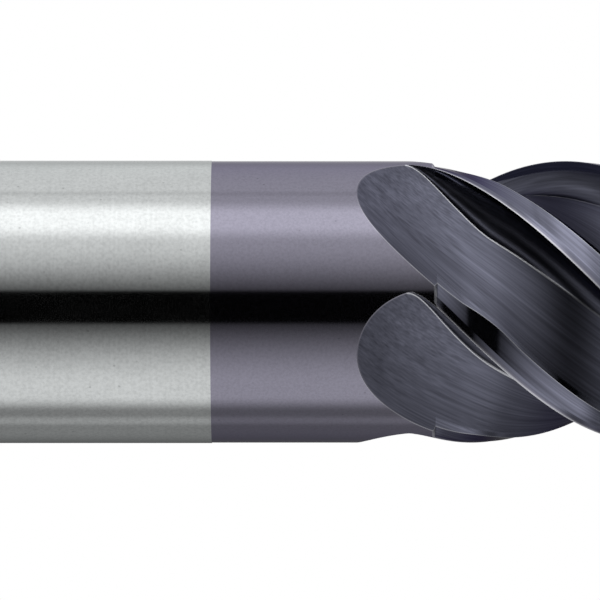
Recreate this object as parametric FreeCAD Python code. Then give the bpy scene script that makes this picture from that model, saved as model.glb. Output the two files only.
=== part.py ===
"""A long five-flute square end mill: one ground bar with a plain shank, a neck, five steep helical
flutes with wheel run-outs, two-step relief on every tooth, and gashed end teeth. Millimetres.

The tool stands on its shank's end face: origin at the middle of that face, +Z along the axis to the teeth.
Turns about the axis are in degrees. The teeth cut towards rising turns.
"""
import FreeCAD, Part
import math
import os

# Bar, from the shank's end up to the teeth. The head is ground a trace smaller than the gripped shank
# and tapers back: its radius shrinks by back_taper from the teeth down to the shank.
shank_diameter = 12.0
cutting_diameter = 11.96
back_taper = 0.005
shank_length = 45.0
neck_length = 6.1
shank_chamfer = 0.6

# Flutes along the bar and across it
flute_count = 5
helix_angle = 45.0
run_out_length = 5.6
full_flute_length = 26.3
flute_depth = 1.48
bare_land_width = 1.31
rake_angle = 8.0
first_edge_turn = -66.5

# Run-out: the lifting wheel draws the flute out in a curve that hardly turns, and the edge lags the helix
run_out_power = 1.6
run_out_swing = 20.0
edge_lag = 107.0
edge_lag_power = 6
edge_lag_limit = 0.65
smallest_gullet = 0.12

# Relief behind each helical cutting edge
relief_lag = 3.2
relief_ramp = 0.15
relief_reach = 2.1
margin_width = 0.03
primary_width = 0.42
primary_relief = 8.0
secondary_relief = 18.0

# End teeth
dish_angle = 2.0
end_primary_width = 0.7
end_primary_relief = 8.0
end_secondary_relief = 20.0
gash_centre_gap = 0.6
gash_centre_depth = 0.5
gash_slope = 35.0
gash_opening = 50.0

# How far the cutting bodies reach past the bar, and the spacing of the run-out's sections
overcut = 1.2
end_overrun = 0.1
run_out_step = 0.5

radius = cutting_diameter / 2
core_radius = radius - flute_depth
clear_radius = radius + overcut
pitch_turn = 360.0 / flute_count
run_out_start = shank_length + neck_length
full_depth_start = run_out_start + run_out_length
relief_start = run_out_start + relief_lag
relief_full = relief_start + relief_ramp
overall_length = full_depth_start + full_flute_length

# The back of a tooth is a straight line across the section, tangent to the core. back_lead is how far
# ahead of the cutting edge that line's nearest point to the axis lies.
back_lead = pitch_turn - math.degrees(bare_land_width / radius + math.acos(core_radius / radius))


def at_turn(distance, degrees, z=0.0):
    """A point at a distance from the axis and a turn about it."""
    turn = math.radians(degrees)
    return FreeCAD.Vector(distance * math.cos(turn), distance * math.sin(turn), z)


def heading(degrees):
    return at_turn(1.0, degrees)


def raised(point, z):
    return FreeCAD.Vector(point.x, point.y, z)


def turned_point(point, degrees):
    return at_turn(point.Length, math.degrees(math.atan2(point.y, point.x)) + degrees)


def turned(shape, degrees):
    copy = shape.copy()
    copy.rotate(FreeCAD.Vector(0, 0, 0), FreeCAD.Vector(0, 0, 1), degrees)
    return copy


def around(shape):
    """The shape repeated once for each flute."""
    return [turned(shape, index * pitch_turn) for index in range(flute_count)]


def stations(start, end, step):
    count = max(1, math.ceil((end - start) / step))
    return [start + (end - start) * index / count for index in range(count + 1)]


def lift(z):
    """0 where the flute is at full depth, 1 where the wheel leaves the bar."""
    return max(0.0, (full_depth_start - z) / run_out_length)


def helix_turn(z):
    return math.degrees((z - full_depth_start) * math.tan(math.radians(helix_angle)) / radius)


def edge_turn(z):
    """The cutting edge's turn. In the run-out it falls behind the helix, up to where the wall vanishes."""
    return first_edge_turn + helix_turn(z) + edge_lag * min(lift(z), edge_lag_limit) ** edge_lag_power


def back_turn(z):
    """Where the tooth's back faces: with the helix, but nearly still in the run-out."""
    if z >= full_depth_start:
        return first_edge_turn + back_lead + helix_turn(z)
    left = max(0.0, 1.0 - lift(z))
    return first_edge_turn + back_lead - run_out_swing * (1.0 - left ** run_out_power)


def back_distance(z):
    return core_radius + (radius - core_radius) * lift(z) ** run_out_power


def gullet(z):
    """The round between a tooth's back and the rake wall: its start, middle and end, and the wall's heading.

    It is tangent to the back and reaches the cutting edge at the rake angle.
    """
    distance = back_distance(z)
    facing = back_turn(z)
    lead = facing - edge_turn(z)
    tangent_lead = math.radians(lead - rake_angle)
    size = (radius * math.cos(math.radians(lead)) - distance) / (1.0 - math.sin(tangent_lead))
    place = radius * math.sin(math.radians(lead)) - size * math.cos(tangent_lead)
    place = min(place, math.sqrt((radius + overcut / 4) ** 2 - distance ** 2))
    size = max(size, smallest_gullet)
    sweep = 90.0 + rake_angle - lead
    start = heading(facing) * distance + heading(facing - 90.0) * place
    centre = start + heading(facing) * size
    middle = centre + heading(facing + 180.0 + sweep / 2) * size
    end = centre + heading(facing + 180.0 + sweep) * size
    return start, middle, end, heading(facing - 90.0 + sweep)


def relief(z, share=1.0):
    """Points of the relief behind the cutting edge: the margin's end, the bend, and one past the heel."""
    turn = edge_turn(z) - math.degrees(margin_width / radius)
    behind = turn - 90.0
    margin_end = at_turn(radius, turn)
    bend = margin_end + heading(behind - primary_relief * share) * primary_width
    past_heel = bend + heading(behind - secondary_relief * share) * relief_reach
    return margin_end, bend, past_heel


def run_out_section(z):
    """The space that the wheel clears, cut across the axis at z and closed outside the bar."""
    start, middle, end, wall = gullet(z)
    along = end.dot(wall)
    tip = end + wall * (math.sqrt(along ** 2 - end.Length ** 2 + clear_radius ** 2) - along)
    facing = back_turn(z)
    half = math.degrees(math.acos(back_distance(z) / clear_radius))
    back = at_turn(clear_radius, facing + half)
    outside = at_turn(clear_radius, facing)
    start, middle, end, tip, outside, back = [
        raised(point, z) for point in (start, middle, end, tip, outside, back)]
    return Part.Wire([
        Part.LineSegment(back, start).toShape(),
        Part.Arc(start, middle, end).toShape(),
        Part.LineSegment(end, tip).toShape(),
        Part.Arc(tip, outside, back).toShape(),
    ])


def relief_section(z, share=1.0):
    margin_end, bend, past_heel = relief(z, share)
    outer = past_heel * (clear_radius / past_heel.Length)
    corners = [margin_end, bend, past_heel, outer, margin_end * (clear_radius / radius)]
    corners = [raised(point, z) for point in corners]
    return Part.makePolygon(corners + corners[:1])


def heel_point(z):
    """Where a tooth's back meets the secondary relief of the tooth ahead."""
    bend, past_heel = [turned_point(point, pitch_turn) for point in relief(z)[1:]]
    outward = heading(back_turn(z))
    way = past_heel - bend
    return bend + way * ((back_distance(z) - bend.dot(outward)) / way.dot(outward))


def fluted_section(z):
    """The fluted bar's whole outline at z: for each tooth its rake, gullet, back, relief and margin."""
    start, middle, edge = gullet(z)[:3]
    heel = heel_point(z)
    margin_end, bend = [turned_point(point, pitch_turn) for point in relief(z)[:2]]
    next_edge = turned_point(edge, pitch_turn)
    margin_middle = at_turn(radius, edge_turn(z) + pitch_turn - math.degrees(margin_width / radius / 2))
    edges = []
    for index in range(flute_count):
        turn = index * pitch_turn
        points = [edge, middle, start, heel, bend, margin_end, margin_middle, next_edge]
        points = [raised(turned_point(point, turn), z) for point in points]
        edges += [
            Part.Arc(*points[0:3]).toShape(),
            Part.LineSegment(*points[2:4]).toShape(),
            Part.LineSegment(*points[3:5]).toShape(),
            Part.LineSegment(*points[4:6]).toShape(),
            Part.Arc(*points[5:8]).toShape(),
        ]
    return Part.Wire(edges)


def skin(sections, straight=False):
    return Part.makeLoft(sections, True, straight)


def plain_bar():
    """The round bar up to full flute depth, with the run-outs and the start of the relief ground into it."""
    shank = Part.makeCylinder(shank_diameter / 2, shank_length)
    rear = min(shank.Edges, key=lambda edge: edge.BoundBox.ZMax)
    head = Part.makeCone(radius - back_taper, radius, full_depth_start - shank_length, at_turn(0, 0, shank_length))
    bar = shank.makeChamfer(shank_chamfer, [rear]).fuse(head)
    rising = stations(run_out_start - run_out_step, full_depth_start, run_out_step)
    relieved = stations(relief_full, full_depth_start, run_out_step)
    cutters = around(skin([run_out_section(z) for z in rising]))
    cutters += around(skin([relief_section(z) for z in relieved]))
    cutters += around(skin([relief_section(relief_start, 0.0), relief_section(relief_full)], True))
    for cutter in cutters:
        bar = bar.cut(cutter)
    return bar


def fluted_bar():
    """The full-depth outline carried up the axis with the helix's twist."""
    height = full_flute_length + end_overrun
    bottom = at_turn(0, 0, full_depth_start)
    axis = Part.makeLine(bottom, at_turn(0, 0, full_depth_start + height))
    twist = Part.makeHelix(2 * math.pi * radius / math.tan(math.radians(helix_angle)), height, radius)
    twist.translate(bottom)
    sweep = Part.BRepOffsetAPI.MakePipeShell(Part.Wire(axis))
    sweep.setAuxiliarySpine(Part.Wire(twist), True, 0)
    sweep.add(fluted_section(full_depth_start))
    sweep.build()
    sweep.makeSolid()
    return sweep.shape()


def end_relief_cutter():
    """What lies above one end tooth: primary and secondary relief falling away behind its end edge."""
    reach = clear_radius / math.cos(math.radians(pitch_turn / 4))
    rise = math.tan(math.radians(dish_angle))
    middle_height = overall_length - rise * radius
    top = overall_length + 2 * end_overrun
    drop = end_primary_width * math.tan(math.radians(end_primary_relief))
    far_drop = drop + (reach - end_primary_width) * math.tan(math.radians(end_secondary_relief))
    profile = [
        FreeCAD.Vector(0, 0, middle_height),
        FreeCAD.Vector(0, -end_primary_width, middle_height - drop),
        FreeCAD.Vector(0, -reach, middle_height - far_drop),
        FreeCAD.Vector(0, -reach, top),
        FreeCAD.Vector(0, 0, top),
    ]
    bar = Part.Face(Part.makePolygon(profile + profile[:1])).extrude(FreeCAD.Vector(reach, 0, rise * reach))
    low = middle_height - far_drop
    corners = [at_turn(0, 0, low)] + [at_turn(reach, -pitch_turn * half / 2, low) for half in range(3)]
    sector = Part.Face(Part.makePolygon(corners + corners[:1]))
    return bar.common(sector.extrude(FreeCAD.Vector(0, 0, top + rise * reach - low)))


def gash_cutter():
    """The notch in front of one end tooth, from near the axis out and down into the flute."""
    height = cutting_diameter
    width = height / math.tan(math.radians(gash_opening))
    base = overall_length - gash_centre_depth
    corners = [
        FreeCAD.Vector(gash_centre_gap, 0, base),
        FreeCAD.Vector(gash_centre_gap, 0, base + height),
        FreeCAD.Vector(gash_centre_gap, width, base + height),
    ]
    notch = Part.Face(Part.makePolygon(corners + corners[:1]))
    return notch.extrude(FreeCAD.Vector(1, 0, -math.tan(math.radians(gash_slope))) * clear_radius)


def end_mill():
    teeth = fluted_bar()
    for cutter in (end_relief_cutter(), gash_cutter()):
        for placed in around(turned(cutter, edge_turn(overall_length))):
            teeth = teeth.cut(placed)
    return plain_bar().fuse(teeth).removeSplitter().Solids[0]


def write_part():
    os.makedirs("parts", exist_ok=True)
    tool = end_mill()
    print("end_mill", tool.isValid(), len(tool.Faces), "faces", round(tool.Volume, 3), "mm3")
    tool.exportStep("parts/end_mill.step")


write_part()
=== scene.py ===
import cmath
import math

import bmesh
import bpy
from bpy.props import FloatProperty, FloatVectorProperty, IntProperty, PointerProperty
from mathutils import Matrix, Vector


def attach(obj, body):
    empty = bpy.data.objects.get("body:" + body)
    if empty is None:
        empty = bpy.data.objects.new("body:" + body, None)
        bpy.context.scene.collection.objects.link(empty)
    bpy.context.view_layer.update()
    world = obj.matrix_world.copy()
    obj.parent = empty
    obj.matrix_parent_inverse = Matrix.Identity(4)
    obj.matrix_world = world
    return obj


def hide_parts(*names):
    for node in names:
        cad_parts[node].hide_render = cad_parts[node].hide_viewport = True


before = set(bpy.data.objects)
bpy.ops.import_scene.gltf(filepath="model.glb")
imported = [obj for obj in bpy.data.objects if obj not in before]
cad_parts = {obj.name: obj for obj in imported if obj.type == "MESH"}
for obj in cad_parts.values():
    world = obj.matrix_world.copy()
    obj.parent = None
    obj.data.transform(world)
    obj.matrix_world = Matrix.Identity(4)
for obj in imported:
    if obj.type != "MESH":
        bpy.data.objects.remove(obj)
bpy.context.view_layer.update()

bl_info = {
    "name": "Square End Mill",
    "version": (1, 0, 0),
    "blender": (4, 5, 0),
    "location": "View3D > Sidebar > End Mill",
    "description": "Grinds a square end mill from its sizes and lights it on a pale studio floor",
    "category": "Object",
}

TOOL_NODE = "end_mill"
MILLIMETRE = 0.001

# Steps round one tooth's share of the outline, and its named columns
GULLET_STEPS = 16
BACK_STEPS = 17
LAND_STEPS = 25
PRIMARY_STEPS = 4
CORNER = GULLET_STEPS
HEEL = CORNER + BACK_STEPS
BEND = HEEL + LAND_STEPS
MARGIN = BEND + PRIMARY_STEPS
COLUMNS = {"edge": 0, "corner": CORNER, "heel": HEEL, "bend": BEND, "margin": MARGIN, "next_edge": MARGIN + 1}

# Steps up the bar: closer where the run-outs begin and where the relief's wheel comes in
RUN_OUT_TIP = 0.6
TIP_STEPS = 12
LOWER_STEPS = 52
RAMP_STEPS = 4
UPPER_STEPS = 45
FLUTE_STEPS = 120
END_OVERRUN = 0.4

# Brightness of the painted highlight lines (at the cutting edges partly worn coating), and over how many columns the
# painted gullet shade deepens
HIGHLIGHT_AND_WEAR = {"edge": 0.9, "next_edge": 0.9, "margin": 0.6, "heel": 0.4, "run_out": 0.25, "ramp": 0.45}
GULLET_SHADE_STEPS = 10

FINE_STEPS = 48
HALVINGS = 40
JOIN_DISTANCE = 0.0005
SHORTEST_EDGE = 0.0002
END_REGION = 5.0
END_SHARP_ANGLE = 9.0
CUTTER_SIZE = 20.0
CREASE_SMOOTHED = 0.8

# Depths below the bar's radius between which its skin counts as ground, and a land as a tooth's back
GROUND_SKIN = (0.004, 0.03)
LAND_SKIN = (0.34, 0.42)
ROUND_TOLERANCE = 0.002
UPRIGHT_TOLERANCE = 0.02

# The tent that the metal mirrors. Degrees round the tool's axis from the camera's side, upwards or downwards
# in the picture: a wall or a drop runs from its start to its end, a fade also has its share, a strip its blur.
UPPER_WALL = (-4.0, 52.0)
UPPER_FADE = (138.0, 160.0, 0.3)
SEAM = (97.0, 102.0, 2.0)
SEAM_LEVEL = 0.14
KEY_STRIP = (57.0, 84.0, 8.0)
LOWER_WALL = (6.0, 72.0)
LOWER_FADE = (83.0, 101.0, 0.68)
LOW_BACK_FADE = (132.0, 175.0, 0.6)
LOWER_STRIP = (109.0, 119.0, 4.0)
LOWER_STRIP_LEVEL = 0.16
OPENING = (-17.5, 9.0, 1.6)
BELOW_OPENING = (-24.0, 62.0, 9.0)

# The same along the tool's axis: towards the shank is a drop, towards the teeth is high
BELOW_DROP = (3.0, 14.0)
FLOOR_DROP = (52.0, 68.0)
HIGH_FADE = (15.0, 62.0, 0.75)

FLOOR_HALF = 0.5
LAMP_SIZE = 0.4
LAMP_PLACE = (-0.35, -0.1, 0.55)
LAMP_TARGET = (0.0, 0.0, 0.04)


class MillSizes(bpy.types.PropertyGroup):
    """Sizes of the ground bar and its flutes in millimetres and degrees, with the visible form's softer kink,
    gullet crease and painted highlight lines (at the cutting edges partly worn coating)."""
    shank_diameter: FloatProperty(name="Shank diameter", description="Across the gripped shank", default=12.0)
    cutting_diameter: FloatProperty(name="Cutting diameter", description="Across the cutting edges", default=11.96)
    shank_length: FloatProperty(name="Shank length", description="Bare ground length", default=45.0)
    shank_chamfer: FloatProperty(name="Shank chamfer", description="On the shank's end", default=0.6)
    neck_length: FloatProperty(name="Neck length", description="From the shank to the first run-out", default=6.1)
    flute_count: IntProperty(name="Flutes", description="Number of teeth", default=5)
    helix_angle: FloatProperty(name="Helix angle", description="Of the cutting edges, in degrees", default=45.0)
    run_out_length: FloatProperty(name="Run-out length", description="Where the wheel leaves the bar", default=5.6)
    flute_length: FloatProperty(name="Full flute length", description="At full depth", default=26.3)
    flute_depth: FloatProperty(name="Flute depth", description="From the edges to the core", default=1.48)
    bare_land: FloatProperty(name="Land width", description="Left between two flutes", default=1.31)
    rake_angle: FloatProperty(name="Rake angle", description="Of the tooth's face, in degrees", default=8.0)
    first_edge: FloatProperty(name="First edge", description="Turn of the first cutting edge", default=-66.5)
    run_out_power: FloatProperty(name="Run-out curve", description="How the flute's floor rises", default=1.6)
    run_out_swing: FloatProperty(name="Run-out swing", description="Turn of the lifting wheel", default=20.0)
    edge_lag: FloatProperty(name="Edge lag", description="How the edge drops behind the helix", default=107.0)
    edge_lag_power: FloatProperty(name="Edge lag curve", description="Sharpness of that drop", default=6.0)
    edge_lag_limit: FloatProperty(name="Edge lag limit", description="Where the rake wall vanishes", default=0.65)
    smallest_gullet: FloatProperty(name="Smallest gullet", description="Radius at the run-out", default=0.12)
    relief_lag: FloatProperty(name="Relief start", description="Above the first run-out", default=3.2)
    relief_ramp: FloatProperty(name="Relief ramp", description="Length of the wheel's way in", default=0.15)
    margin_width: FloatProperty(name="Margin width", description="Round strip behind the edge", default=0.03)
    primary_width: FloatProperty(name="Primary width", description="Of the first relief", default=0.42)
    primary_relief: FloatProperty(name="Primary relief", description="Angle in degrees", default=8.0)
    secondary_relief: FloatProperty(name="Secondary relief", description="Angle in degrees", default=18.0)
    dish_angle: FloatProperty(name="Dish", description="Of the end teeth, in degrees", default=2.0)
    end_primary_width: FloatProperty(name="End primary width", description="On the end teeth", default=0.7)
    end_primary_relief: FloatProperty(name="End primary relief", description="Angle in degrees", default=8.0)
    end_secondary_relief: FloatProperty(name="End secondary relief", description="Angle in degrees", default=20.0)
    gash_gap: FloatProperty(name="Gash centre gap", description="From the axis to a gash", default=0.6)
    gash_depth: FloatProperty(name="Gash centre depth", description="Where a gash starts", default=0.5)
    gash_slope: FloatProperty(name="Gash slope", description="Down into the flute, in degrees", default=35.0)
    gash_opening: FloatProperty(name="Gash opening", description="Angle of the notch, in degrees", default=50.0)
    kink_blend: FloatProperty(name="Kink blend", description="Softening of the kink at full depth", default=1.3)
    crease_angle: FloatProperty(name="Gullet crease", description="Between gullet and back, in degrees", default=28.0)
    crease_fade_start: FloatProperty(name="Crease fade start", description="Height where it softens", default=58.0)
    crease_fade_end: FloatProperty(name="Crease fade end", description="Height where it is gone", default=62.0)
    # Widths of painted highlight lines: at the cutting edges partly worn coating, at the gullet crease only painted
    # highlight
    edge_strip: FloatProperty(name="Edge strip", description="Width of the worn light line at an edge", default=0.045)
    crease_strip: FloatProperty(name="Crease strip", description="Width of the light line at a crease", default=0.08)


class MillFinish(bpy.types.PropertyGroup):
    """Colours and gloss of the two ground finishes."""
    bare_colour: FloatVectorProperty(
        name="Bare carbide", description="Ground shank", subtype="COLOR", size=3, default=(0.62, 0.64, 0.64))
    coat_colour: FloatVectorProperty(
        name="Hard coating", description="Dark coating", subtype="COLOR", size=3, default=(0.255, 0.245, 0.305))
    bare_roughness: FloatProperty(
        name="Bare roughness", description="Of the ground shank", default=0.07, subtype="FACTOR")
    coat_roughness: FloatProperty(
        name="Coating roughness", description="Of the coated round neck", default=0.09, subtype="FACTOR")
    flute_roughness: FloatProperty(
        name="Flute roughness", description="Of the coated flutes", default=0.34, subtype="FACTOR")


class MillStage(bpy.types.PropertyGroup):
    """The light tent, the floor and the camera."""
    tent_level: FloatProperty(name="Tent level", description="Brightness of the tent's walls", default=0.95)
    key_level: FloatProperty(name="Key strip level", description="Added by the bright strip", default=0.68)
    floor_level: FloatProperty(name="Floor side level", description="Brightness from below", default=0.5)
    low_level: FloatProperty(name="Lower wall level", description="Brightness of the lower wall", default=0.95)
    lamp_power: FloatProperty(name="Lamp power", description="Of the soft lamp", default=1.2, unit="POWER")
    floor_colour: FloatVectorProperty(
        name="Floor", description="Pale floor", subtype="COLOR", size=3, default=(0.8, 0.8, 0.8))
    lens: FloatProperty(name="Lens", description="Focal length in millimetres", default=400.0)
    view_width: FloatProperty(
        name="View width", description="Width of the picture at the tool", default=0.0255, unit="LENGTH")
    view_height: FloatProperty(
        name="View centre", description="Height of the picture's centre", default=0.04874, unit="LENGTH")
    view_shift: FloatProperty(
        name="View shift", description="Of the picture's centre across the tool", default=0.00008, unit="LENGTH")


def ray(degrees):
    return cmath.rect(1.0, math.radians(degrees))


def cross(first, second):
    return (first.conjugate() * second).imag


class GroundForm:
    """The tool's outline across the axis at any height, as complex numbers in millimetres."""

    def __init__(self, sizes):
        self.s = sizes
        self.radius = sizes.cutting_diameter / 2
        self.core = self.radius - sizes.flute_depth
        self.pitch = 360.0 / sizes.flute_count
        self.run_out_start = sizes.shank_length + sizes.neck_length
        self.full_start = self.run_out_start + sizes.run_out_length
        self.relief_start = self.run_out_start + sizes.relief_lag
        self.relief_full = self.relief_start + sizes.relief_ramp
        self.top = self.full_start + sizes.flute_length
        land = sizes.bare_land / self.radius + math.acos(self.core / self.radius)
        self.back_lead = self.pitch - math.degrees(land)
        self.first_end_turn = sizes.first_edge + self.helix_turn(self.top)

    def lift(self, z):
        return max(0.0, (self.full_start - z) / self.s.run_out_length)

    def helix_turn(self, z):
        return math.degrees((z - self.full_start) * math.tan(math.radians(self.s.helix_angle)) / self.radius)

    def edge_turn(self, z):
        lag = self.s.edge_lag * min(self.lift(z), self.s.edge_lag_limit) ** self.s.edge_lag_power
        return self.s.first_edge + self.helix_turn(z) + lag

    def twist(self, z):
        """The turn that the geometry nodes add above the start of full depth."""
        return max(0.0, self.helix_turn(z))

    def back_turn(self, z):
        """Where the back faces: the run-out's slow swing blended softly into the helix at full depth."""
        left = max(0.0, 1.0 - (self.full_start - z) / self.s.run_out_length)
        swinging = self.s.run_out_swing * (left ** self.s.run_out_power - 1.0)
        share = (z - self.full_start) / (2.0 * self.s.kink_blend) + 0.5
        share = min(1.0, max(0.0, share))
        share *= share * (3.0 - 2.0 * share)
        turn = swinging + (self.helix_turn(z) - swinging) * share
        return self.s.first_edge + self.back_lead + turn

    def back_distance(self, z):
        return self.core + (self.radius - self.core) * self.lift(z) ** self.s.run_out_power

    def rake_and_gullet(self, z):
        """Points from the cutting edge down the rake and round the gullet to the straight back."""
        distance = self.back_distance(z)
        facing = self.back_turn(z)
        lead = facing - self.edge_turn(z)
        tangent = math.radians(lead - self.s.rake_angle)
        size = (self.radius * math.cos(math.radians(lead)) - distance) / (1.0 - math.sin(tangent))
        place = self.radius * math.sin(math.radians(lead)) - size * math.cos(tangent)
        place = min(place, math.sqrt((self.radius + 0.3) ** 2 - distance ** 2))
        size = max(size, self.s.smallest_gullet)
        sweep = 90.0 + self.s.rake_angle - lead
        start = ray(facing) * distance + ray(facing - 90.0) * place
        if abs(start) > self.radius:
            half = math.sqrt(max(0.0, self.radius ** 2 - distance ** 2))
            return [ray(facing) * distance + ray(facing - 90.0) * half] * 2
        centre = start + ray(facing) * size

        def on_arc(share):
            return centre + ray(facing + 180.0 + sweep * share) * size

        if abs(on_arc(1.0)) > self.radius:
            low, high = 0.0, 1.0
            for _ in range(HALVINGS):
                middle = (low + high) / 2
                low, high = (middle, high) if abs(on_arc(middle)) < self.radius else (low, middle)
            return [on_arc(low * (1.0 - step / FINE_STEPS)) for step in range(FINE_STEPS + 1)]
        end = on_arc(1.0)
        wall = ray(facing - 90.0 + sweep)
        along = (end.conjugate() * wall).real
        edge = end + wall * (math.sqrt(along ** 2 - abs(end) ** 2 + self.radius ** 2) - along)
        return [edge] + [on_arc(1.0 - step / FINE_STEPS) for step in range(FINE_STEPS + 1)]

    def crease(self, z):
        """1 where the hollowed gullet meets the back in a crease, 0 where it runs smoothly into it."""
        share = (self.s.crease_fade_end - z) / (self.s.crease_fade_end - self.s.crease_fade_start)
        return min(1.0, max(0.0, share))

    def hollowed(self, chain, facing, angle):
        """The gullet ground a little deeper, so that it leaves the back at an angle."""
        corner, edge = chain[-1], chain[0]
        span = edge - corner
        lean = math.radians(angle)
        along, outward = ray(facing - 90.0), ray(facing)
        normal = outward * math.cos(lean) + along * math.sin(lean)
        rise = (span.conjugate() * normal).real
        if abs(span) < 0.05 or rise < 0.02:
            return chain
        size = abs(span) ** 2 / (2.0 * rise)
        centre = corner + normal * size
        sweep = cmath.phase((edge - centre) / (corner - centre))
        shares = [1.0 - step / FINE_STEPS for step in range(FINE_STEPS + 1)]
        return [centre + (corner - centre) * cmath.rect(1.0, sweep * share) for share in shares]

    def land_radius(self, turn, edge_turn, share):
        """Distance from the axis to the relieved land at a turn, behind the edge at edge_turn."""
        if share <= 0.0:
            return self.radius
        margin_turn = edge_turn - math.degrees(self.s.margin_width / self.radius)
        if turn >= margin_turn:
            return self.radius
        margin_end = ray(margin_turn) * self.radius
        primary = ray(margin_turn - 90.0 - self.s.primary_relief * share)
        secondary = ray(margin_turn - 90.0 - self.s.secondary_relief * share)
        bend = margin_end + primary * self.s.primary_width
        towards = ray(turn)
        if turn >= math.degrees(cmath.phase(bend / margin_end)) + margin_turn:
            return min(self.radius, cross(margin_end, primary) / cross(towards, primary))
        return min(self.radius, cross(bend, secondary) / cross(towards, secondary))

    def outline(self, z):
        """One tooth's share of the outline: gullet, back, secondary relief, primary relief, margin."""
        crease = self.crease(z)
        z = min(max(z, self.run_out_start), self.full_start + self.s.kink_blend)
        share = min(1.0, max(0.0, (z - self.relief_start) / self.s.relief_ramp))
        distance = self.back_distance(z)
        facing = self.back_turn(z)
        chain = self.hollowed(self.rake_and_gullet(z), facing, self.s.crease_angle * crease)
        edge = chain[0]
        edge_turn = facing + math.degrees(cmath.phase(edge / ray(facing)))
        next_turn = edge_turn + self.pitch
        low, high = 0.0, math.sqrt(max(0.0, self.radius ** 2 - distance ** 2))
        for _ in range(HALVINGS):
            middle = (low + high) / 2
            point = ray(facing) * distance + ray(facing + 90.0) * middle
            turn = facing + math.degrees(cmath.phase(point / ray(facing)))
            inside = abs(point) < self.land_radius(turn, next_turn, share)
            low, high = (middle, high) if inside else (low, middle)
        heel = ray(facing) * distance + ray(facing + 90.0) * high
        heel_turn = facing + math.degrees(cmath.phase(heel / ray(facing)))
        strip, crease_strip = self.s.edge_strip, self.s.crease_strip
        points = spread(chain, GULLET_STEPS, strip, crease_strip)
        points += spread([chain[-1], heel], BACK_STEPS, crease_strip, strip)[1:]
        margin_turn = next_turn - math.degrees(self.s.margin_width / self.radius)
        margin_end = ray(margin_turn) * self.radius
        bend = margin_end + ray(margin_turn - 90.0 - self.s.primary_relief * share) * self.s.primary_width
        bend_turn = margin_turn + math.degrees(cmath.phase(bend / margin_end))
        strip_turn = math.degrees(strip / self.radius)
        turns = [heel_turn, heel_turn + strip_turn]
        turns += steps(heel_turn + strip_turn, bend_turn, LAND_STEPS - 1)[1:]
        turns += steps(bend_turn, margin_turn, PRIMARY_STEPS)[1:]
        points += [self.land_radius(turn, next_turn, share) * ray(turn) for turn in turns[1:]]
        points.append(edge * ray(self.pitch))
        return [point * ray(-self.twist(z)) for point in points]


def steps(start, end, count):
    return [start + (end - start) * index / count for index in range(count + 1)]


def spread(chain, count, first, last):
    """The chain resampled to count steps, its first and last step of the given widths where not zero."""
    lengths = [0.0]
    for before, after in zip(chain, chain[1:]):
        lengths.append(lengths[-1] + abs(after - before))
    whole = lengths[-1]
    first, last = (min(value, whole / count) for value in (first, last))
    places = steps(first, whole - last, count - (first > 0.0) - (last > 0.0))
    places = ([0.0] if first > 0.0 else []) + places + ([whole] if last > 0.0 else [])
    places = (places + [whole] * count)[:count + 1]
    points, index = [], 0
    for place in places:
        while index < len(lengths) - 2 and lengths[index + 1] < place:
            index += 1
        gap = lengths[index + 1] - lengths[index]
        share = min(1.0, (place - lengths[index]) / gap) if gap > 1e-9 else 0.0
        points.append(chain[index] + (chain[index + 1] - chain[index]) * share)
    return points


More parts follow.
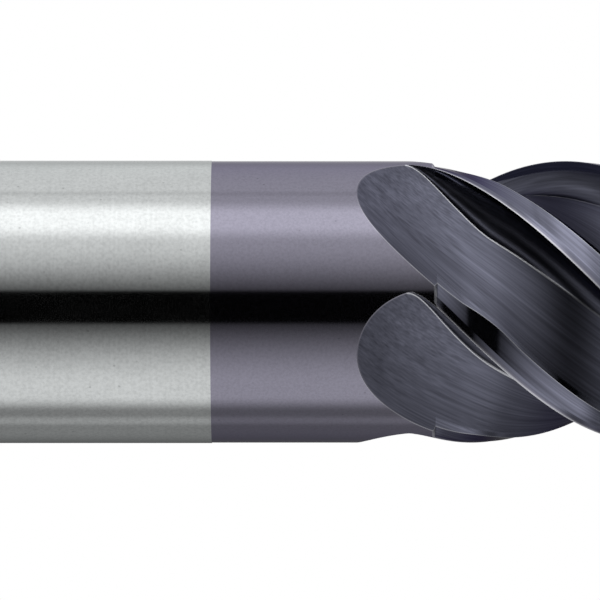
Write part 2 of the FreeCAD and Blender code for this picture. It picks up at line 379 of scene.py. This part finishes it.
def tooth_sector(form):
    """One tooth's share of the whole bar from the shank's end to past the tip, before twist and repeat."""
    sizes = form.s
    heights = [form.run_out_start + RUN_OUT_TIP * (index / TIP_STEPS) ** 2 for index in range(TIP_STEPS + 1)]
    heights += steps(form.run_out_start + RUN_OUT_TIP, form.relief_start, LOWER_STEPS)[1:]
    heights += steps(form.relief_start, form.relief_full, RAMP_STEPS)[1:]
    heights += steps(form.relief_full, form.full_start, UPPER_STEPS)[1:]
    heights += steps(form.full_start, form.top + END_OVERRUN, FLUTE_STEPS)[1:]
    round_points = form.outline(form.run_out_start)
    shank_radius = sizes.shank_diameter / 2
    rings = []
    for z, distance in (
            (0.0, shank_radius - sizes.shank_chamfer), (sizes.shank_chamfer, shank_radius),
            (sizes.shank_length, shank_radius), (sizes.shank_length, form.radius)):
        rings.append([(point * distance / form.radius, z) for point in round_points])
    turned_rings = len(rings)
    rings += [[(point, z) for point in form.outline(z)] for z in heights]

    mesh = bmesh.new()
    painted_highlight_and_wear = mesh.verts.layers.float.new("edge_highlight_and_wear")
    painted_gullet_shade = mesh.verts.layers.float.new("gullet")
    grid = [[mesh.verts.new((point.real, point.imag, z)) for point, z in ring] for ring in rings]
    for ring in grid[turned_rings + 1:]:
        height = ring[0].co.z
        near_relief = height > form.relief_start - 1.0
        # Painted highlights: light lines along the cutting edges and heels, partly worn coating at the cutting edges,
        # fainter on the run-outs
        for name in ("edge", "heel", "next_edge"):
            ring[COLUMNS[name]][painted_highlight_and_wear] = HIGHLIGHT_AND_WEAR[name] if near_relief else HIGHLIGHT_AND_WEAR["run_out"]
        # Painted highlight along the gullet crease, fading out as the crease softens
        ring[CORNER][painted_highlight_and_wear] = form.crease(height)
        # Painted highlight along the margin
        if height > form.relief_full:
            ring[MARGIN][painted_highlight_and_wear] = HIGHLIGHT_AND_WEAR["margin"]
        # Painted shade in the gullet, deepening from the cutting edge over GULLET_SHADE_STEPS columns
        for column in range(1, CORNER):
            ring[column][painted_gullet_shade] = min(1.0, column / GULLET_SHADE_STEPS)
        # Painted highlight over the lands where the relief wheel comes in
        if form.relief_start < height < form.relief_full:
            for vert in ring[HEEL:MARGIN]:
                vert[painted_highlight_and_wear] = HIGHLIGHT_AND_WEAR["ramp"]
    for below, above in zip(grid, grid[1:]):
        for index in range(len(below) - 1):
            mesh.faces.new((below[index], below[index + 1], above[index + 1], above[index]))
    for ring, z in ((grid[0], 0.0), (grid[-1], rings[-1][0][1])):
        hub = mesh.verts.new((0.0, 0.0, z))
        for before, after in zip(ring, ring[1:]):
            mesh.faces.new((hub, after, before) if z == 0.0 else (hub, before, after))
    mesh.edges.ensure_lookup_table()
    for ring in grid[:turned_rings]:
        for before, after in zip(ring, ring[1:]):
            mesh.edges.get((before, after)).smooth = False
    starts = {"bend": form.relief_start, "margin": form.relief_start}
    for name, column in COLUMNS.items():
        top = sizes.crease_fade_end - CREASE_SMOOTHED if name == "corner" else form.top + 1.0
        for below, above in zip(grid[turned_rings:], grid[turned_rings + 1:]):
            if starts.get(name, form.run_out_start) + 1e-6 < above[column].co.z < top:
                mesh.edges.get((below[column], above[column])).smooth = False
    for face in mesh.faces:
        face.smooth = True
    sector = bpy.data.meshes.new("tooth_sector")
    mesh.to_mesh(sector)
    mesh.free()
    return bpy.data.objects.new("tooth_sector", sector)


class NodeBench:
    """Adds nodes to a tree and joins them, so that a tree reads as a list of steps."""

    def __init__(self, tree):
        self.tree = tree

    def add(self, kind, inputs=(), **settings):
        node = self.tree.nodes.new(kind)
        for name, value in settings.items():
            setattr(node, name, value)
        for key, value in dict(inputs).items():
            socket = node.inputs[key]
            if isinstance(value, bpy.types.NodeSocket):
                self.tree.links.new(value, socket)
            else:
                socket.default_value = value
        return node

    def math(self, operation, *values, clamp=False):
        node = self.add("ShaderNodeMath", operation=operation, use_clamp=clamp)
        for index, value in enumerate(values):
            if isinstance(value, bpy.types.NodeSocket):
                self.tree.links.new(value, node.inputs[index])
            else:
                node.inputs[index].default_value = value
        return node.outputs[0]


def flute_tree():
    """Geometry nodes that twist one tooth's sector along the helix and repeat it round the axis."""
    tree = bpy.data.node_groups.new("Twisted Teeth", "GeometryNodeTree")
    sides = tree.interface
    sides.new_socket("Geometry", in_out="INPUT", socket_type="NodeSocketGeometry")
    sides.new_socket("Flutes", in_out="INPUT", socket_type="NodeSocketInt")
    sides.new_socket("Twist Start", in_out="INPUT", socket_type="NodeSocketFloat")
    sides.new_socket("Twist Rate", in_out="INPUT", socket_type="NodeSocketFloat")
    sides.new_socket("Shank Top", in_out="INPUT", socket_type="NodeSocketFloat")
    sides.new_socket("Shank Finish", in_out="INPUT", socket_type="NodeSocketMaterial")
    sides.new_socket("Head Finish", in_out="INPUT", socket_type="NodeSocketMaterial")
    sides.new_socket("Geometry", in_out="OUTPUT", socket_type="NodeSocketGeometry")
    bench = NodeBench(tree)
    given = bench.add("NodeGroupInput").outputs
    place = bench.add("GeometryNodeInputPosition").outputs[0]
    height = bench.add("ShaderNodeSeparateXYZ", {0: place}).outputs["Z"]
    above = bench.math("MAXIMUM", bench.math("SUBTRACT", height, given["Twist Start"]), 0.0)
    turn = bench.math("MULTIPLY", above, given["Twist Rate"])
    twisted = bench.add("ShaderNodeVectorRotate", {"Vector": place, "Angle": turn}, rotation_type="Z_AXIS")
    sector = bench.add("GeometryNodeSetPosition", {"Geometry": given["Geometry"], "Position": twisted.outputs[0]})
    points = bench.add("GeometryNodeMeshLine", {"Count": given["Flutes"], "Offset": (0.0, 0.0, 0.0)})
    index = bench.add("GeometryNodeInputIndex").outputs[0]
    share = bench.math("DIVIDE", index, given["Flutes"])
    facing = bench.add("ShaderNodeCombineXYZ", {"Z": bench.math("MULTIPLY", share, math.tau)})
    copies = bench.add("GeometryNodeInstanceOnPoints", {
        "Points": points.outputs["Mesh"], "Instance": sector.outputs["Geometry"], "Rotation": facing.outputs[0]})
    real = bench.add("GeometryNodeRealizeInstances", {"Geometry": copies.outputs["Instances"]})
    joined = bench.add("GeometryNodeMergeByDistance", {"Geometry": real.outputs[0], "Distance": JOIN_DISTANCE})
    head = bench.add("GeometryNodeSetMaterial", {"Geometry": joined.outputs[0], "Material": given["Head Finish"]})
    low = bench.add("FunctionNodeCompare", {0: height, 1: given["Shank Top"]},
                    data_type="FLOAT", operation="LESS_THAN")
    shank = bench.add("GeometryNodeSetMaterial", {
        "Geometry": head.outputs[0], "Selection": low.outputs[0], "Material": given["Shank Finish"]})
    bench.add("NodeGroupOutput", {"Geometry": shank.outputs[0]})
    return tree


def set_inputs(modifier, values):
    for item in modifier.node_group.interface.items_tree:
        if item.item_type == "SOCKET" and item.in_out == "INPUT" and item.name in values:
            modifier[item.identifier] = values[item.name]


def evaluated_mesh(thing):
    graph = bpy.context.evaluated_depsgraph_get()
    return bpy.data.meshes.new_from_object(thing.evaluated_get(graph), depsgraph=graph)


def convex_cutter(name, planes, turn):
    """A solid bounded by planes, each a point and an outward normal, turned about the axis."""
    mesh = bmesh.new()
    bmesh.ops.create_cube(mesh, size=CUTTER_SIZE)
    bmesh.ops.translate(mesh, verts=mesh.verts, vec=planes[0][0])
    for point, normal in planes:
        cut = bmesh.ops.bisect_plane(
            mesh, geom=mesh.verts[:] + mesh.edges[:] + mesh.faces[:], plane_co=point, plane_no=normal,
            clear_outer=True)
        edges = [item for item in cut["geom_cut"] if isinstance(item, bmesh.types.BMEdge)]
        bmesh.ops.contextual_create(mesh, geom=edges)
    bmesh.ops.recalc_face_normals(mesh, faces=mesh.faces)
    mesh.transform(Matrix.Rotation(math.radians(turn), 4, "Z"))
    data = bpy.data.meshes.new(name)
    mesh.to_mesh(data)
    mesh.free()
    return bpy.data.objects.new(name, data)


def end_cutters(form):
    """The wheels' cuts across the cutting end: two reliefs and a gash for each end tooth."""
    sizes = form.s
    rise = math.tan(math.radians(sizes.dish_angle))
    middle = form.top - rise * form.radius
    first = math.tan(math.radians(sizes.end_primary_relief))
    second = math.tan(math.radians(sizes.end_secondary_relief))
    bend = middle - sizes.end_primary_width * first
    slope = math.tan(math.radians(sizes.gash_slope))
    lean = math.tan(math.radians(sizes.gash_opening))
    far_side = Vector((math.sin(math.radians(-form.pitch)), -math.cos(math.radians(-form.pitch)), 0.0))
    sector = [(Vector((0, 0, middle)), Vector((0, 1, 0))), (Vector((0, 0, middle)), far_side)]
    gash_start = Vector((sizes.gash_gap, 0.0, form.top - sizes.gash_depth))
    faced = [(Vector((0, 0, form.top)), Vector((0.0, 0.0, -1.0)))]
    cutters = [convex_cutter("faced_end", faced, 0.0)]
    for index in range(sizes.flute_count):
        turn = form.first_end_turn + index * form.pitch
        cutters.append(convex_cutter("end_primary", sector + [
            (Vector((0, 0, middle)), Vector((rise, first, -1.0)))], turn))
        cutters.append(convex_cutter("end_secondary", sector + [
            (Vector((0, -sizes.end_primary_width, bend)), Vector((rise, second, -1.0)))], turn))
        cutters.append(convex_cutter("gash", [
            (gash_start, Vector((0.0, -1.0, 0.0))), (gash_start, Vector((-1.0, 0.0, 0.0))),
            (gash_start, Vector((-slope, lean, -1.0)))], turn))
    return cutters


def ground_head(form, finishes):
    """The whole tool as one closed mesh in metres."""
    scene = bpy.context.scene
    sector = tooth_sector(form)
    scene.collection.objects.link(sector)
    flutes = sector.modifiers.new("Twisted Teeth", "NODES")
    flutes.node_group = flute_tree()
    set_inputs(flutes, {
        "Flutes": form.s.flute_count,
        "Twist Start": form.full_start,
        "Twist Rate": math.tan(math.radians(form.s.helix_angle)) / form.radius,
        "Shank Top": form.s.shank_length,
        "Shank Finish": finishes[0],
        "Head Finish": finishes[1],
    })
    whole = bpy.data.objects.new("ground_bar", evaluated_mesh(sector))
    scene.collection.objects.link(whole)
    cutters = end_cutters(form)
    for cutter in cutters:
        scene.collection.objects.link(cutter)
        cut = whole.modifiers.new(cutter.name, "BOOLEAN")
        cut.operation = "DIFFERENCE"
        cut.solver = "MANIFOLD"
        cut.object = cutter
    finished = evaluated_mesh(whole)
    for thing in cutters + [whole, sector]:
        data = thing.data
        bpy.data.objects.remove(thing)
        bpy.data.meshes.remove(data)
    mesh = bmesh.new()
    mesh.from_mesh(finished)
    bmesh.ops.dissolve_degenerate(mesh, dist=SHORTEST_EDGE, edges=mesh.edges)
    tip = form.top - END_REGION
    for face in mesh.faces:
        face.smooth = True
    for edge in mesh.edges:
        if len(edge.link_faces) == 2 and min(vert.co.z for vert in edge.verts) > tip:
            if edge.calc_face_angle(0.0) > math.radians(END_SHARP_ANGLE):
                edge.smooth = False
    mesh.to_mesh(finished)
    mesh.free()
    finished.materials.clear()
    for finish in finishes:
        finished.materials.append(finish)
    for face in finished.polygons:
        face.material_index = 0 if face.center.z < form.s.shank_length else 1
    round_normals(finished, form)
    finished.transform(Matrix.Scale(MILLIMETRE, 4))
    return finished


def round_normals(mesh, form):
    """Exact normals on the round shank and neck, so that reflections run straight along them."""
    normals = [corner.vector.copy() for corner in mesh.corner_normals]
    for face in mesh.polygons:
        places = [mesh.vertices[index].co for index in face.vertices]
        sizes = [math.hypot(place.x, place.y) for place in places]
        is_round = any(max(abs(size - radius) for size in sizes) < ROUND_TOLERANCE
                       for radius in (form.radius, form.s.shank_diameter / 2))
        if not is_round or abs(face.normal.z) > UPRIGHT_TOLERANCE:
            continue
        for corner in face.loop_indices:
            place = mesh.vertices[mesh.loops[corner].vertex_index].co
            normals[corner] = Vector((place.x, place.y, 0.0)).normalized()
    mesh.normals_split_custom_set(normals)


def new_finish(name):
    finish = bpy.data.materials.new(name)
    finish.use_nodes = True
    finish.node_tree.nodes.clear()
    bench = NodeBench(finish.node_tree)
    coords = bench.add("ShaderNodeTexCoord").outputs["Object"]
    return finish, bench, coords


def scaled(bench, vector, x, y, z):
    return bench.add("ShaderNodeVectorMath", {0: vector, 1: (x, y, z)}, operation="MULTIPLY").outputs[0]


def speckle(bench, vector, scale, low, high, **settings):
    noise = bench.add("ShaderNodeTexNoise", {"Vector": vector, "Scale": scale, "Detail": 2.0, **settings})
    return bench.add("ShaderNodeMapRange", {
        "Value": noise.outputs[0], "From Min": low, "From Max": high}).outputs[0]


def shaded(bench, colour, factor, darkest):
    """The colour darkened towards darkest times itself as factor falls from 1 to 0."""
    grey = bench.add("ShaderNodeMapRange", {"Value": factor, "To Min": darkest, "To Max": 1.0}).outputs[0]
    return bench.add("ShaderNodeVectorMath", {0: colour, "Scale": grey}, operation="SCALE").outputs[0]


def metal(bench, colour, roughness, normal, grazing):
    shader = bench.add("ShaderNodeBsdfPrincipled", {
        "Base Color": colour, "Metallic": 1.0, "Roughness": roughness, "Normal": normal, "Specular Tint": grazing})
    bench.add("ShaderNodeOutputMaterial", {"Surface": shader.outputs[0]})


def bare_carbide(look):
    """Bright carbide, ground round the bar: fine rings, a dusting of pores and a faint cloudiness."""
    finish, bench, coords = new_finish("bare_ground_carbide")
    rings = speckle(bench, scaled(bench, coords, 60.0, 60.0, 9000.0), 1.0, 0.3, 0.7)
    grain = speckle(bench, coords, 7000.0, 0.28, 0.62)
    cloud = speckle(bench, scaled(bench, coords, 1.0, 1.0, 0.4), 500.0, 0.35, 0.65)
    pores = bench.add("ShaderNodeTexVoronoi", {"Vector": coords, "Scale": 1300.0})
    pore = bench.add("ShaderNodeMapRange", {
        "Value": pores.outputs["Distance"], "From Min": 0.03, "From Max": 0.09}).outputs[0]
    colour = bench.add("ShaderNodeRGB").outputs[0]
    colour.default_value = (*look.bare_colour, 1.0)
    colour = shaded(bench, colour, rings, 0.95)
    colour = shaded(bench, colour, grain, 0.85)
    colour = shaded(bench, colour, pore, 0.72)
    colour = shaded(bench, colour, cloud, 0.95)
    roughness = bench.add("ShaderNodeMapRange", {
        "Value": cloud, "To Min": look.bare_roughness + 0.03, "To Max": look.bare_roughness}).outputs[0]
    bump = bench.add("ShaderNodeBump", {
        "Strength": 0.05, "Distance": 0.0000005, "Height": bench.math("ADD", rings, grain)}).outputs[0]
    metal(bench, colour, roughness, bump, (0.85, 0.87, 0.87, 1.0))
    return finish


def dark_coating(look, form):
    """Violet-grey hard coating: smooth over the round bar, streaked along the helix where flutes are ground, with
    painted shade in the flutes and gullets and painted highlight lines along edges, run-outs and the crease.
    """
    finish, bench, coords = new_finish("dark_hard_coating")
    parts = bench.add("ShaderNodeSeparateXYZ", {0: coords}).outputs
    from_axis = bench.math("SQRT", bench.math(
        "ADD", bench.math("MULTIPLY", parts["X"], parts["X"]), bench.math("MULTIPLY", parts["Y"], parts["Y"])))
    ground = bench.add("ShaderNodeMapRange", {
        "Value": from_axis, "From Min": (form.radius - GROUND_SKIN[0]) * MILLIMETRE,
        "From Max": (form.radius - GROUND_SKIN[1]) * MILLIMETRE}).outputs[0]
    relieved = bench.math("MULTIPLY", bench.add("ShaderNodeMapRange", {
        "Value": from_axis, "From Min": (form.radius - LAND_SKIN[1]) * MILLIMETRE,
        "From Max": (form.radius - LAND_SKIN[0]) * MILLIMETRE}).outputs[0], bench.math(
            "GREATER_THAN", parts["Z"], form.relief_full * MILLIMETRE))
    rate = math.tan(math.radians(form.s.helix_angle)) / (form.radius * MILLIMETRE)
    turn = bench.math("MULTIPLY", bench.math("SUBTRACT", form.full_start * MILLIMETRE, parts["Z"]), rate)
    unwound = bench.add("ShaderNodeVectorRotate", {"Vector": coords, "Angle": turn}, rotation_type="Z_AXIS")
    streaks = speckle(bench, scaled(bench, unwound.outputs[0], 9000.0, 9000.0, 260.0), 1.0, 0.25, 0.75)
    broad = speckle(bench, scaled(bench, unwound.outputs[0], 2200.0, 2200.0, 120.0), 1.0, 0.3, 0.7)
    grain = speckle(bench, coords, 9000.0, 0.28, 0.62)
    pores = bench.add("ShaderNodeTexVoronoi", {"Vector": coords, "Scale": 1500.0})
    pore = bench.add("ShaderNodeMapRange", {
        "Value": pores.outputs["Distance"], "From Min": 0.03, "From Max": 0.09}).outputs[0]
    colour = bench.add("ShaderNodeRGB").outputs[0]
    colour.default_value = (*look.coat_colour, 1.0)
    round_colour = shaded(bench, shaded(bench, colour, grain, 0.88), pore, 0.75)
    # Grinding streaks, then painted shade: flute backs and gullets, and the whole flute below the relief's full
    # height, darkened to 0.7 of the lands
    flute_colour = shaded(bench, shaded(bench, shaded(bench, colour, streaks, 0.55), broad, 0.72), relieved, 0.7)
    flute_colour = bench.add("ShaderNodeVectorMath", {0: flute_colour, 1: (0.99, 1.06, 1.12)},
                             operation="MULTIPLY").outputs[0]
    # Painted shade: the flute colour is darkened towards half where the gullet layer is 1
    gullet = bench.add("ShaderNodeAttribute", attribute_name="gullet").outputs["Fac"]
    flute_colour = shaded(bench, flute_colour, bench.math("SUBTRACT", 1.0, gullet), 0.5)
    both = bench.add("ShaderNodeMix", {"Factor": ground, "A": round_colour, "B": flute_colour}, data_type="VECTOR")
    # Painted highlights: this layer mixes the colour towards pale grey along edges, heels, margins, run-outs, ramp
    # and crease; partly worn coating at the cutting edges
    painted_highlight_and_wear = bench.add("ShaderNodeAttribute", attribute_name="edge_highlight_and_wear").outputs["Fac"]
    light = bench.math("MULTIPLY", painted_highlight_and_wear, 1.3, clamp=True)
    edged = bench.add("ShaderNodeMix", {
        "Factor": light, "A": both.outputs[1], "B": (0.75, 0.76, 0.8)}, data_type="VECTOR")
    back_share = bench.math("MULTIPLY", ground, bench.math("SUBTRACT", 1.0, relieved))
    roughness = bench.add("ShaderNodeMapRange", {
        "Value": back_share, "To Min": look.coat_roughness, "To Max": look.flute_roughness}).outputs[0]
    roughness = bench.math("MAXIMUM", roughness, bench.math("MULTIPLY", light, 0.55))
    height = bench.add("ShaderNodeMix", {"Factor": ground, "A": grain, "B": streaks}, data_type="FLOAT")
    depth = bench.math("MULTIPLY", height.outputs[0], bench.math("MULTIPLY_ADD", ground, 3.0, 1.0))
    bump = bench.add("ShaderNodeBump", {"Strength": 0.1, "Distance": 0.0000006, "Height": depth}).outputs[0]
    grazing = bench.add("ShaderNodeMix", {
        "Factor": ground, "A": (0.58, 0.57, 0.64), "B": (0.32, 0.3, 0.36)}, data_type="VECTOR")
    metal(bench, edged.outputs[1], roughness, bump, grazing.outputs[1])
    return finish


class MILL_OT_ground_tool(bpy.types.Operator):
    """Grind the whole tool: shank, neck, twisted flutes with run-outs, reliefs and end teeth"""
    bl_idname = "mill.ground_tool"
    bl_label = "Ground Tool"

    def execute(self, context):
        scene = context.scene
        form = GroundForm(scene.mill_sizes)
        finishes = [bare_carbide(scene.mill_finish), dark_coating(scene.mill_finish, form)]
        mesh = ground_head(form, finishes)
        if len(mesh.polygons) < 1000:
            raise RuntimeError("the ground tool came out empty")
        mesh.name = "ground_end_mill"
        tool = bpy.data.objects.new("ground_end_mill", mesh)
        scene.collection.objects.link(tool)
        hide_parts(TOOL_NODE)
        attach(tool, "root")
        return {"FINISHED"}


def smooth_step(bench, value, start, end):
    return bench.add("ShaderNodeMapRange", {
        "Value": value, "From Min": start, "From Max": end}, interpolation_type="SMOOTHSTEP").outputs[0]


def tent_world(look):
    """A white tent: dark where it opens towards the camera, one bright strip beside the tool, dim behind it."""
    world = bpy.data.worlds.new("studio_tent")
    world.use_nodes = True
    tree = world.node_tree
    tree.nodes.clear()
    bench = NodeBench(tree)
    way = bench.add("ShaderNodeTexCoord").outputs["Generated"]
    parts = bench.add("ShaderNodeSeparateXYZ", {0: way}).outputs
    side = bench.math("ARCTAN2", bench.math("MULTIPLY", parts["X"], -1.0), bench.math("MULTIPLY", parts["Y"], -1.0))
    upper = bench.math("MULTIPLY", side, 180.0 / math.pi)
    lower = bench.math("MULTIPLY", upper, -1.0)
    rise = bench.math("MULTIPLY", bench.math("ARCSINE", parts["Z"]), 180.0 / math.pi)

    def step(value, start, end):
        return smooth_step(bench, value, start, end)

    def fading(value, start, end, share):
        return bench.math("SUBTRACT", 1.0, bench.math("MULTIPLY", step(value, start, end), share))

    def strip(value, inner, outer, blur):
        risen, fallen = step(value, inner - blur, inner + blur), step(value, outer - blur, outer + blur)
        return bench.math("SUBTRACT", risen, fallen)

    def product(*values):
        result = values[0]
        for value in values[1:]:
            result = bench.math("MULTIPLY", result, value)
        return result

    drop = bench.math("MULTIPLY", rise, -1.0)
    upper_wall = product(step(upper, *UPPER_WALL), fading(upper, *UPPER_FADE), look.tent_level)
    seam = product(strip(upper, *SEAM), SEAM_LEVEL)
    key = product(strip(upper, *KEY_STRIP), look.key_level)
    lower_wall = product(step(lower, *LOWER_WALL), fading(lower, *LOWER_FADE), fading(lower, *LOW_BACK_FADE),
                         look.low_level)
    lower_strip = product(strip(lower, *LOWER_STRIP), LOWER_STRIP_LEVEL)
    glow = bench.math("SUBTRACT", bench.math("ADD", bench.math("ADD", upper_wall, key), bench.math(
        "ADD", lower_wall, lower_strip)), seam)
    below = product(step(drop, *BELOW_DROP), strip(upper, *BELOW_OPENING))
    dark = bench.math("MAXIMUM", strip(upper, *OPENING), below)
    glow = product(glow, bench.math("SUBTRACT", 1.0, dark), fading(rise, *HIGH_FADE))
    floor_side = step(drop, *FLOOR_DROP)
    glow = bench.math("ADD", product(glow, bench.math("SUBTRACT", 1.0, floor_side)), product(
        floor_side, look.floor_level))
    tent = bench.add("ShaderNodeBackground", {"Color": (1.0, 1.0, 1.0, 1.0), "Strength": glow})
    white = bench.add("ShaderNodeBackground", {"Color": (1.0, 1.0, 1.0, 1.0), "Strength": 1.0})
    glossy = bench.add("ShaderNodeLightPath").outputs["Is Glossy Ray"]
    mixed = bench.add("ShaderNodeMixShader", {0: glossy, 1: white.outputs[0], 2: tent.outputs[0]})
    bench.add("ShaderNodeOutputWorld", {"Surface": mixed.outputs[0]})
    return world


class MILL_OT_studio(bpy.types.Operator):
    """Set the pale floor, the light tent, the soft lamp and the camera"""
    bl_idname = "mill.studio"
    bl_label = "Studio"

    def execute(self, context):
        scene = context.scene
        look = scene.mill_stage
        scene.world = tent_world(look)
        scene.view_settings.view_transform = "Standard"

        data = bpy.data.meshes.new("pale_floor")
        corners = [(-1, -1), (1, -1), (1, 1), (-1, 1)]
        data.from_pydata([(x * FLOOR_HALF, y * FLOOR_HALF, 0.0) for x, y in corners], [], [(0, 1, 2, 3)])
        floor = bpy.data.objects.new("pale_floor", data)
        scene.collection.objects.link(floor)
        floor.visible_glossy = False
        paper = bpy.data.materials.new("pale_paper")
        paper.use_nodes = True
        shader = paper.node_tree.nodes["Principled BSDF"]
        shader.inputs["Base Color"].default_value = (*look.floor_colour, 1.0)
        shader.inputs["Roughness"].default_value = 0.9
        data.materials.append(paper)

        lamp_data = bpy.data.lights.new("soft_lamp", "AREA")
        lamp_data.shape = "DISK"
        lamp_data.size = LAMP_SIZE
        lamp_data.energy = look.lamp_power
        lamp = bpy.data.objects.new("soft_lamp", lamp_data)
        lamp.matrix_world = facing_matrix(Vector(LAMP_PLACE), Vector(LAMP_TARGET))
        lamp.visible_glossy = False
        scene.collection.objects.link(lamp)

        camera_data = bpy.data.cameras.new("photo_camera")
        camera_data.lens = look.lens
        camera_data.clip_start = 0.01
        distance = look.view_width * look.lens / camera_data.sensor_width
        camera = bpy.data.objects.new("photo_camera", camera_data)
        right, up, back = Vector((0, 0, 1)), Vector((-1, 0, 0)), Vector((0, -1, 0))
        turn = Matrix((right, up, back)).transposed().to_4x4()
        centre = up * look.view_shift + Vector((0, 0, look.view_height))
        camera.matrix_world = Matrix.Translation(centre + back * distance) @ turn
        scene.collection.objects.link(camera)
        scene.camera = camera
        return {"FINISHED"}


def facing_matrix(place, target):
    turn = (target - place).to_track_quat("-Z", "Y")
    return Matrix.Translation(place) @ turn.to_matrix().to_4x4()


class MILL_PT_sidebar(bpy.types.Panel):
    """Buttons that grind the tool and set its stage"""
    bl_idname = "MILL_PT_sidebar"
    bl_label = "End Mill"
    bl_space_type = "VIEW_3D"
    bl_region_type = "UI"
    bl_category = "End Mill"

    def draw(self, context):
        column = self.layout.column(align=True)
        column.operator(MILL_OT_ground_tool.bl_idname)
        column.operator(MILL_OT_studio.bl_idname)


CLASSES = (MillSizes, MillFinish, MillStage, MILL_OT_ground_tool, MILL_OT_studio, MILL_PT_sidebar)
GROUPS = {"mill_sizes": MillSizes, "mill_finish": MillFinish, "mill_stage": MillStage}


def register():
    for item in CLASSES:
        bpy.utils.register_class(item)
    for name, group in GROUPS.items():
        setattr(bpy.types.Scene, name, PointerProperty(type=group))


def unregister():
    for name in GROUPS:
        delattr(bpy.types.Scene, name)
    for item in reversed(CLASSES):
        bpy.utils.unregister_class(item)


def main():
    register()
    bpy.ops.mill.ground_tool()
    bpy.ops.mill.studio()


if __name__ == "__main__":
    main()
